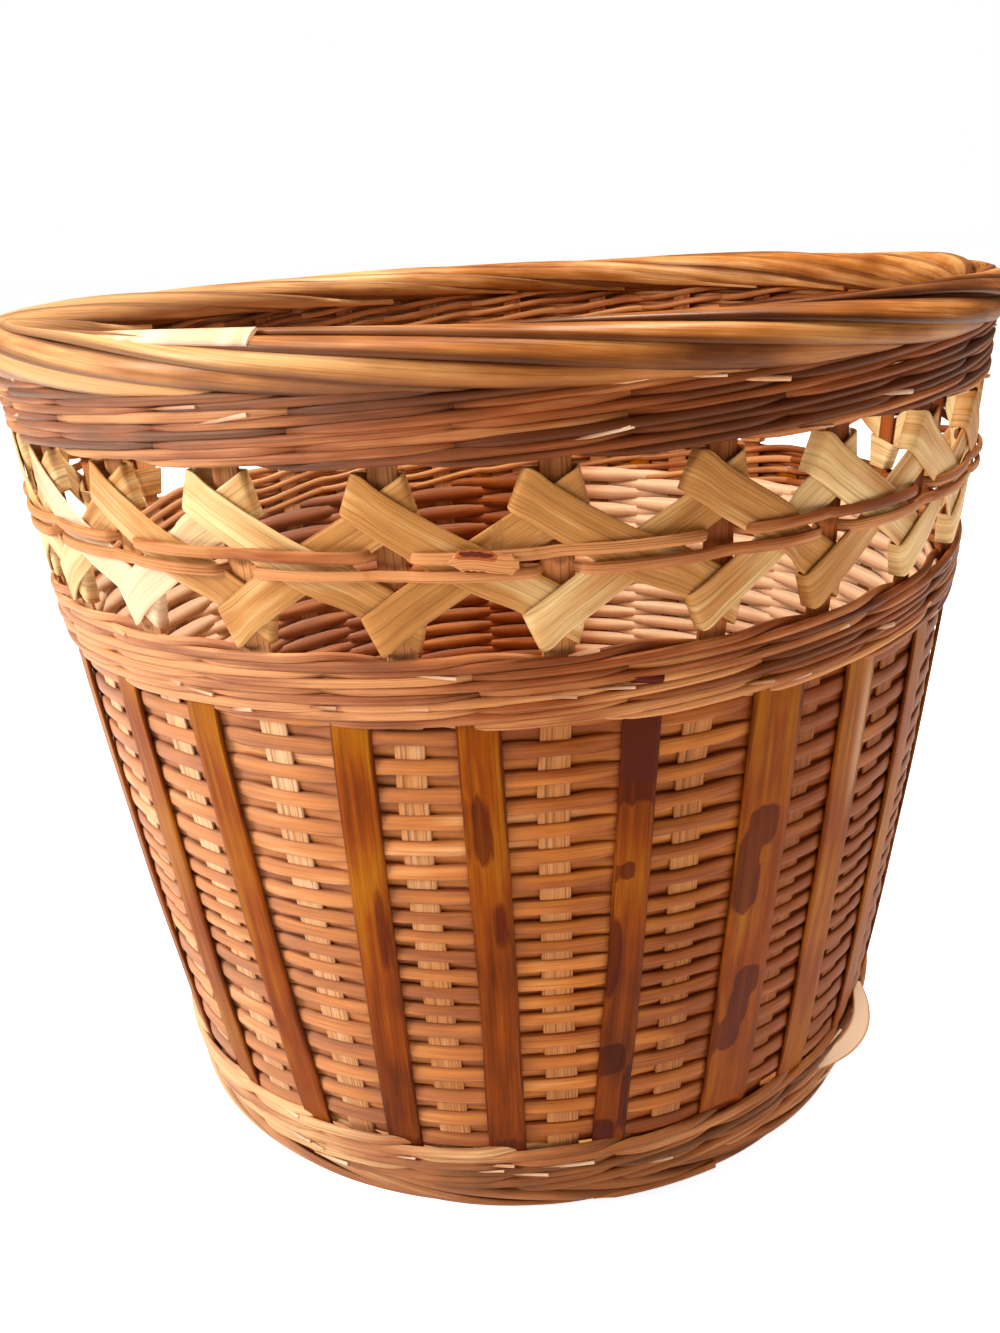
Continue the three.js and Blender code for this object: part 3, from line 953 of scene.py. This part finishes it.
def make_camera():
    pitch_cos, pitch_sin = math.cos(CAMERA_PITCH), math.sin(CAMERA_PITCH)
    yaw_cos, yaw_sin = math.cos(CAMERA_YAW), math.sin(CAMERA_YAW)
    roll_cos, roll_sin = math.cos(CAMERA_ROLL), math.sin(CAMERA_ROLL)
    right = Vector((yaw_cos, yaw_sin, 0))
    forward = Vector((-yaw_sin * pitch_cos, yaw_cos * pitch_cos, -pitch_sin))
    up = Vector((-yaw_sin * pitch_sin, yaw_cos * pitch_sin, pitch_cos))
    x = right * roll_cos - up * roll_sin
    y = right * roll_sin + up * roll_cos
    matrix = Matrix((x, y, -forward)).transposed().to_4x4()
    matrix.translation = Vector(CAMERA_PLACE) * MM
    data = bpy.data.cameras.new("camera")
    data.lens = LENS
    data.sensor_width = SENSOR
    data.clip_start = 0.01
    camera = link_object("camera", data)
    camera.matrix_world = Matrix.Rotation(-CAMERA_TURN, 4, "Z") @ matrix
    bpy.context.scene.camera = camera


def area_lamp(name, place, size, power, color, target=(0, 0, 0.1)):
    data = bpy.data.lights.new(name, "AREA")
    data.shape = "DISK"
    data.size = size
    data.energy = power
    data.color = color
    lamp = link_object(name, data)
    lamp.location = place
    lamp.rotation_euler = (Vector(target) - Vector(place)).to_track_quat("-Z", "Y").to_euler()


def make_floor():
    """A pale floor that the camera sees as white, and that keeps the shadow."""
    mesh = bpy.data.meshes.new("floor")
    reach = 6.0
    corners = [(-reach, -reach, 0), (reach, -reach, 0), (reach, reach, 0), (-reach, reach, 0)]
    mesh.from_pydata(corners, [], [(0, 1, 2, 3)])
    floor = link_object("floor", mesh)
    material = bpy.data.materials.new("pale_floor")
    material.use_nodes = True
    tree = material.node_tree
    shader = tree.nodes["Principled BSDF"]
    shader.inputs["Base Color"].default_value = (0.9, 0.9, 0.9, 1)
    shader.inputs["Roughness"].default_value = 0.9
    shader.inputs["Specular IOR Level"].default_value = 0.0
    rays = tree.nodes.new("ShaderNodeLightPath")
    glow = tree.nodes.new("ShaderNodeEmission")
    glow.inputs["Color"].default_value = (0.82, 0.87, 0.91, 1)
    link(tree, rays.outputs["Is Camera Ray"], glow.inputs["Strength"])
    add = tree.nodes.new("ShaderNodeAddShader")
    link(tree, shader.outputs[0], add.inputs[0])
    link(tree, glow.outputs[0], add.inputs[1])
    link(tree, add.outputs[0], tree.nodes["Material Output"].inputs["Surface"])
    mesh.materials.append(material)


def make_world():
    """White to the camera, and a weak warm light on everything else."""
    world = bpy.data.worlds.new("studio")
    bpy.context.scene.world = world
    world.use_nodes = True
    tree = world.node_tree
    back = tree.nodes["Background"]
    camera_ray = tree.nodes.new("ShaderNodeLightPath").outputs["Is Camera Ray"]
    strength = math_node(tree, "ADD", scaled(tree, camera_ray, 0.82), 0.18)
    link(tree, strength, back.inputs["Strength"])
    link(tree, mix_node(tree, camera_ray, (1.0, 0.74, 0.48), (1.0, 1.0, 1.0)), back.inputs["Color"])


def make_lamps():
    area_lamp("key", (-1.05, -0.36, 0.72), size=0.5, power=17.0, color=(1.0, 0.97, 0.93))
    area_lamp("fill", (0.5, -1.0, 0.6), size=0.7, power=1.4, color=(1.0, 0.84, 0.66))
    area_lamp("top", (-0.4, -0.2, 1.15), size=0.5, power=8.0, color=(1.0, 0.95, 0.88),
              target=(0.05, 0.05, 0.1))
    area_lamp("inner", (0.28, 0.0, 1.15), size=0.4, power=18.0, color=(1.0, 0.9, 0.8),
              target=(-0.06, 0.03, 0.1))


def main():
    bpy.context.scene.view_settings.view_transform = "Standard"
    make_camera()
    make_floor()
    make_world()
    make_lamps()
    looks = make_materials()
    stakes(looks["stake"])
    wall_weaver(looks["wall"])
    overlays(looks["overlay"])
    # The bands' paler left and darker right are painted side light
    waled_band("lower_waling", looks["band"], "band_reed", "lower_band_reed", rows=4, reed=1.9,
               depth=1.6, tone=0.55, seed=500, lit_paler=0.65, dark=0.25, drop=0.8)
    waled_band("upper_waling", looks["band"], "band_reed", "upper_band_reed", rows=4, reed=2.1,
               depth=1.7, tone=0.34, seed=540, lit_paler=0.22, dark=0.08, stretch=3.6)
    zigzag(looks["splint"])
    mid_reeds(looks["band"])
    rim = Border(RIM_RADIUS, middle_of("rim_strand"), out=4.4, up=4.8)
    rolled_rim(rim, looks["rim"])
    rim_filler(rim, looks["core"])
    waled_band("foot_waling", looks["foot"], "foot_reed", "foot_wale", rows=3, reed=2.3, depth=1.8,
               tone=0.24, seed=560, lit_paler=0.9, dark=0.15)
    rolled_foot(Border(FOOT_RADIUS, 7.5, out=4.2, up=6.0), looks["foot"])
    woven_floor(looks["floor_weave"])


main()
